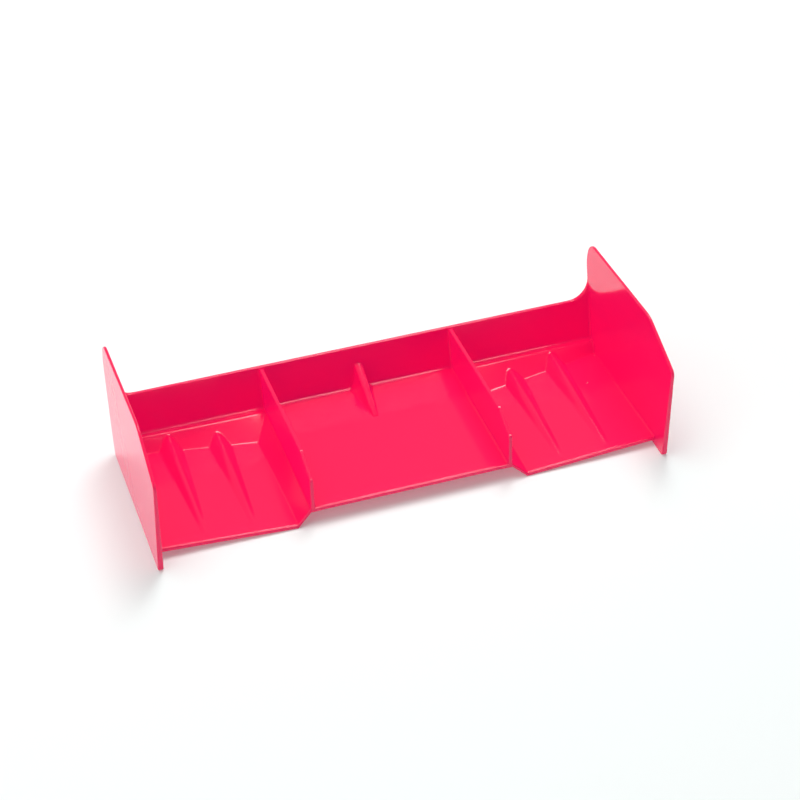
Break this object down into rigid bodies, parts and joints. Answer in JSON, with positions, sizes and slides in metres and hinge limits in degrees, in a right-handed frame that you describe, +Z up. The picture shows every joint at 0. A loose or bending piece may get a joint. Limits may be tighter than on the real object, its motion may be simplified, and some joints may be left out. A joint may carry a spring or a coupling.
{
  "type": "racing rear wing",
  "caption": "Rear wing moulding for a radio-controlled off-road car: flat deck, ribbed side pockets, dividers, gurney flap and tall end plates.",
  "frame": {"origin": "middle of the wing's footprint, level with the feet of the end plates", "axes": "+X along the span to the right, +Y to the rear of the car, +Z up"},
  "size_m": [0.178, 0.0756, 0.0473],
  "materials": {
    "moulded_nylon": "smooth glossy moulded nylon, fluorescent pink-red"
  },
  "bodies": {
    "root": {"deck_panel": "moulded_nylon", "gurney_flap": "moulded_nylon", "centre_fin": "moulded_nylon", "left_end_plate": "moulded_nylon", "right_end_plate": "moulded_nylon", "left_corner_sweep": "moulded_nylon", "right_corner_sweep": "moulded_nylon", "left_divider": "moulded_nylon", "right_divider": "moulded_nylon", "left_pocket_ledge": "moulded_nylon", "right_pocket_ledge": "moulded_nylon", "left_pocket_step": "moulded_nylon", "right_pocket_step": "moulded_nylon", "left_pocket_floor": "moulded_nylon", "right_pocket_floor": "moulded_nylon", "left_pocket_side": "moulded_nylon", "right_pocket_side": "moulded_nylon", "left_inner_rib": "moulded_nylon", "right_inner_rib": "moulded_nylon", "left_outer_rib": "moulded_nylon", "right_outer_rib": "moulded_nylon"}
  },
  "joints": []
}
